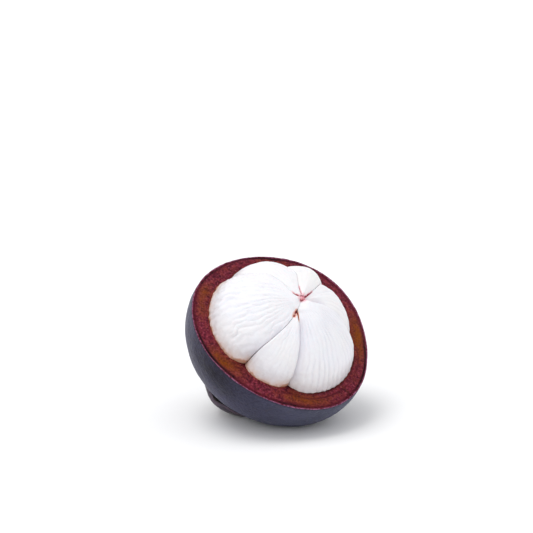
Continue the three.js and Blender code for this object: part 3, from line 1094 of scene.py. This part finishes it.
def lip_at(size, azimuth):
    """How high the torn edge of the skin stands, unevenly round the rim."""
    ragged = noise(polar(11, azimuth, 3.1), 1, 4, 0.7)
    return size["Lip height"] * clamp(0.55 + ragged * 0.6)


def start_patch(tree, rows):
    """A grid for one patch, the azimuth round it, and how far along it is."""
    flat, turn, along = grid(tree, RIND_COLUMNS, rows)
    return flat, FIRST_MIDDLE + turn * 360, along


def skin_patch(tree, size):
    """From the stem end up to the rim."""
    flat, azimuth, along = start_patch(tree, SKIN_ROWS)
    from_stem = along * RIM_ANGLE
    radius, height = skin_point(from_stem, azimuth, lip_at(size, azimuth))
    below_rim = (RIM_ANGLE - from_stem) * DEG * BODY_RADIUS
    flat = store(flat, below_rim=below_rim, azimuth=azimuth)
    return move_to(flat, polar(radius, azimuth, height))


def cut_patch(tree, size):
    """From the lip across to the flesh."""
    flat, azimuth, share = start_patch(tree, CUT_ROWS)
    lip = lip_at(size, azimuth)
    outer_radius, outer_height = skin_point(azimuth * 0 + RIM_ANGLE, azimuth, lip)
    inner_radius, inner_height = inner_wall(azimuth * 0 + CUT_ANGLE, azimuth)
    radius = mix(outer_radius, inner_radius, share)
    height = mix(outer_height, inner_height, share)
    place = polar(30, azimuth, share * 6)
    fibres = noise(place, 0.8, 3, 0.7) + noise(polar(12, azimuth, share * 2), 0.6, 2)
    height = height - lip * (1 - bell(share, 0.05)) * (1 - share)
    line = size["Line depth"] * bell(share - 0.12, 0.045) * clamp(0.5 + noise(place, 0.25) * 0.8)
    crown = (0.2 + fibres * size["Fibre height"]) * sine(share * 180)
    flat = store(flat, across_cut=share, azimuth=azimuth)
    flat = store(flat, "FACE", inside=1)
    return move_to(flat, polar(radius, azimuth, height - line + crown))


def hollow_patch(tree):
    """From the cut down round the flesh."""
    flat, azimuth, along = start_patch(tree, HOLLOW_ROWS)
    radius, height = inner_wall(mix(CUT_ANGLE, 180, along), azimuth)
    flat = store(flat, across_cut=1, azimuth=azimuth)
    flat = store(flat, "FACE", inside=1)
    return move_to(flat, polar(radius, azimuth, height))


def make_rind_tree():
    sizes = {"Lip height": 0.3, "Line depth": 0.35, "Fibre height": 0.13}
    tree, size = start_tree("rind cup", sizes)
    patches = [skin_patch(tree, size), cut_patch(tree, size), hollow_patch(tree)]
    lean_and_finish(patches, SKIN, CUT_RIND)
    return tree


grow("rind_cup", make_rind_tree(), {}, ["rind"])


# %% [markdown]
# ## Core
# The segments grow from a thin column of tissue. Only its head shows, a small pink star that
# reaches an arm into each seam. It is a turned shape whose radius swells towards every seam.


# %% The core's tree
STALK_END = 0.5  # of the rows; the rest make the head


def make_core_tree():
    tree, size = start_tree("core", {"Bore": CORE_BORE, "Mouth": MOUTH_RADIUS})
    flat, turn, along = grid(tree, 96, 60)
    azimuth = turn * 360
    top = BALL_CENTRE + BALL_HALF_HEIGHT - DIMPLE_DEPTH
    foot = BALL_CENTRE - BALL_HALF_HEIGHT + DIMPLE_DEPTH + GAP
    stalk = clamp(along / STALK_END)
    head = clamp((along - STALK_END) / (1 - STALK_END))
    height = mix(foot, top - MOUTH_DEPTH - 1, stalk)
    height = mix(height, top - GAP, smooth(head, 0, 0.8))
    arm = 0
    for shape in SEGMENTS[:-1]:
        towards = shape["from"] + shape["veer"][0] * 0.6
        arm = bell(degrees_apart(azimuth, towards), 12) + arm
    closing = clamp(along * 40) * root(clamp((1 - head) / 0.25))
    lumps = noise(polar(1, azimuth, height), 1.5, 3) * closing
    star = 0.82 + 0.16 * clamp(arm) + lumps * 0.08
    wide = mix(size["Bore"] - 0.3, size["Mouth"] * star - 0.03, smooth(head, 0, 0.7))
    height = height + smooth(head, 0.75, 1) * 0.25 + lumps * 0.15 * head
    lean_and_finish([move_to(flat, polar(wide * closing, azimuth, height))], CORE)
    return tree


grow("pink_core", make_core_tree(), {}, ["core"])


# %% [markdown]
# ## Sepals
# Four thick lobes lie on the skin round the stem. A lobe is a place on the skin, so far along and
# so far across, lifted off it: the cross-section is a thin lens, and it arches like a spoon. The
# grid goes round the lens, over its back and under its belly, and along the lobe.

# %% Sizes of the sepals
SEPALS = [
    {"towards": 289, "length": 18.0, "half width": 11.9, "arch": 2.0, "tip": 0.2},
    {"towards": 20, "length": 11, "half width": 7.5, "arch": 0.4, "tip": 0.2},
    {"towards": 110, "length": 15.5, "half width": 9, "arch": 2.4, "tip": 1.6},
    {"towards": 200, "length": 16.5, "half width": 9.2, "arch": 2.8, "tip": 1.4},
]
STEM_RADIUS = 3.1
STEM_LENGTH = 11.6
HALF_ROOM = 43.5  # degrees on either side of a sepal's middle, before it meets the next


# %% The sepal's tree
def make_sepal_tree():
    sizes = {"Towards": 0, "Length": 15, "Half width": 9, "Arch": 2, "Tip": 1}
    tree, size = start_tree("sepal", {**sizes, "Thickness": 2.5, "Seed": 0})
    flat, turn, row = grid(tree, 120, 90)
    closing = root(clamp(row * 40)) * root(clamp((1 - row) * 40))
    q = cosine(turn * 360) * closing  # across the lobe, from -1 to 1
    face = sine(turn * 360)  # 1 on its back, -1 on its belly
    rounded = calculate("SIGN", face) * absolute(face) ** 0.55 * closing
    base = STEM_RADIUS * 1.16 + GAP
    along = base + row * size["Length"]
    away = (row - 0.44) / 0.56
    outline = root(clamp(1 - away * away))
    room = along * math.tan(HALF_ROOM * DEG) - GAP
    ragged = 1 + noise(vector(row * 4, q * 0.8, size["Seed"]), 1, 3) * 0.03
    across = q * smaller(size["Half width"] * outline * ragged, room)
    crown = (1 - q * q) * sine(smaller(row * 1.25, 1) * 90)
    lift = GAP + size["Arch"] * sine(row * 144) * crown + size["Tip"] * row * row
    thick = size["Thickness"] * mix(0.5, 1, outline * root(clamp(1 - q * q)))
    vein = noise(vector(q * 5, row * 1.5, size["Seed"] + 5), 1, 3) * 0.12
    buckle = noise(vector(q * 1.6, row * 2.2, size["Seed"] + 2), 1, 2) * 0.25 * row
    above = lift + thick * (0.5 + 0.5 * rounded) + (vein - 0.12) * clamp(rounded)
    above = above + (buckle + 0.2 * row) * (1 - crown)

    reach = root(along * along + across * across)
    azimuth = size["Towards"] + calculate("ARCTAN2", across, along) / DEG
    angle = reach / BODY_RADIUS / DEG
    radius = BODY_RADIUS * sine(angle)
    height = BODY_CENTRE - BODY_HALF_HEIGHT * cosine(angle)
    out, up = sine(angle) / BODY_RADIUS, -cosine(angle) / BODY_HALF_HEIGHT
    length = root(out * out + up * up)
    radius = radius + above * out / length
    height = height + above * up / length
    flat = store(flat, across=q, along=row, underside=clamp(-rounded))
    lean_and_finish([move_to(flat, polar(radius, azimuth, height))], SEPAL)
    return tree


sepal_tree = make_sepal_tree()
for k, shape in enumerate(SEPALS):
    sizes = {name.capitalize(): value for name, value in shape.items()}
    sizes["Seed"] = 7.0 * k
    grow(f"leathery_sepal_{k + 1}", sepal_tree, sizes, [f"sepal_{k + 1}"])


# %% [markdown]
# ## Stem
# The stalk was cut short. It flares where it joins the fruit and thickens at its end, and shallow
# ribs run down it. It is a turned shape with a rib wave round it, and its end is closed by
# letting the radius run to nothing over the last rows.


# %% The stem's tree
FOOT_END = 0.08  # of the rows, from the middle of the foot to its edge
SIDE_END = 0.86  # and on down the side; the rest close the end


def make_stem_tree():
    tree, size = start_tree("stem", {"Radius": STEM_RADIUS, "Length": STEM_LENGTH, "Ribs": 8})
    flat, turn, row = grid(tree, 144, 110)
    azimuth = turn * 360
    side = clamp((row - FOOT_END) / (SIDE_END - FOOT_END))
    foot_cap = clamp(row / FOOT_END)
    end_cap = clamp((row - SIDE_END) / (1 - SIDE_END))
    share = mix(1.1, 0.93, smooth(side, 0, 0.35)) + smooth(side, 0.5, 0.92) * 0.16
    share = share - bell(side - 1, 0.05) * 0.1
    ribs = 1 + cosine(azimuth * size["Ribs"]) * 0.035
    bark = noise(vector(cosine(azimuth) * 3.5, sine(azimuth) * 3.5, side * 2.5), 1, 4, 0.6) * 0.035
    radius = size["Radius"] * share * (ribs + bark) * foot_cap * (1 - end_cap)
    rings = sine(end_cap * 360 * 3.5) * 0.1 - end_cap * (1 - end_cap) * 0.6
    foot = BODY_CENTRE - BODY_HALF_HEIGHT - GAP
    height = foot - size["Length"] * side - rings * clamp(end_cap * 20) * 0.6
    x, y, z = radius * cosine(azimuth), radius * sine(azimuth) + side * side * 0.5, height
    flat = store(flat, round_stem=turn, along=side)
    lean_and_finish([move_to(flat, vector(x, y, z))], STEM)
    return tree


grow("cut_stem", make_stem_tree(), {}, ["stem"])

# %% [markdown]
# ## Floor, light and camera
# A pale floor under a bright even sky, and one broad lamp high up, a little to the left: white
# flesh needs soft light, or its fine ridges drown. A faint lamp behind on the left brightens the
# edge of the dark skin there. The camera looks down a little through a long lens, with the fruit
# below the middle of its view.


# %% Floor and lamps
def make_floor():
    mesh = bpy.data.meshes.new("floor")
    reach = 4
    corners = [(-reach, -reach, 0), (reach, -reach, 0), (reach, reach, 0), (-reach, reach, 0)]
    mesh.from_pydata(corners, [], [(0, 1, 2, 3)])
    material, _, clouds, *_ = start_material("pale_floor", 60)
    base = blend(clouds * 0.5 + 0.5, (0.94, 0.94, 0.94), (0.96, 0.96, 0.96))
    mesh.materials.append(finish_material(material, base, 0.7, Specular_IOR_Level=0.2))
    add_object("floor", mesh)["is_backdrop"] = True


def add_lamp(name, place, aim, side, power):
    data = bpy.data.lights.new(name, "AREA")
    data.size = side
    data.energy = power
    lamp = add_object(name, data)
    lamp.location = place
    lamp.rotation_euler = (Vector(place) - Vector(aim)).to_track_quat("Z", "Y").to_euler()


def light_scene():
    world = bpy.data.worlds.new("soft sky")
    world.use_nodes = True
    sky = world.node_tree.nodes["Background"]
    sky.inputs["Color"].default_value = (0.98, 0.985, 1, 1)
    sky.inputs["Strength"].default_value = 0.93
    bpy.context.scene.world = world
    data = bpy.data.lights.new("key", "SUN")
    data.energy = 0.95
    data.angle = 36 * DEG
    key = add_object("key", data)
    key.rotation_euler = Vector((-0.3, 0, 0.95)).to_track_quat("Z", "Y").to_euler()
    add_lamp("left rim", (-0.55, 0.36, 0.1), (0, 0, 0.02), 0.2, 0.6)


make_floor()
light_scene()

# %% The camera
ELEVATION = 14
DISTANCE = 612.95 * mm
RIGHT_OF_AIM = 5.76 * mm  # where the middle of the cut lies in the view, from its centre
BELOW_AIM = 21.68 * mm

camera_data = bpy.data.cameras.new("camera")
camera_data.lens = 120
camera_data.sensor_width = 36
camera = add_object("camera", camera_data)
forward = Vector((0, math.cos(ELEVATION * DEG), -math.sin(ELEVATION * DEG)))
upward = Vector((0, math.sin(ELEVATION * DEG), math.cos(ELEVATION * DEG)))
aim = ORIGIN - Vector((RIGHT_OF_AIM, 0, 0)) + upward * BELOW_AIM
camera.location = aim - forward * DISTANCE
camera.rotation_euler = ((90 - ELEVATION) * DEG, 0, 0)
bpy.context.scene.camera = camera
bpy.context.scene.view_settings.view_transform = "Standard"
print("the camera is at", [round(value, 4) for value in camera.location])

# %% Compare the sizes and finish
low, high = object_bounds()
sizes = {"cad": [list(cad_low), list(cad_high)], "visual": [list(low), list(high)]}
over = [round(1000 * value, 2) for value in (*(cad_low - low), *(high - cad_high))]
print("over the frame by", over, "mm")
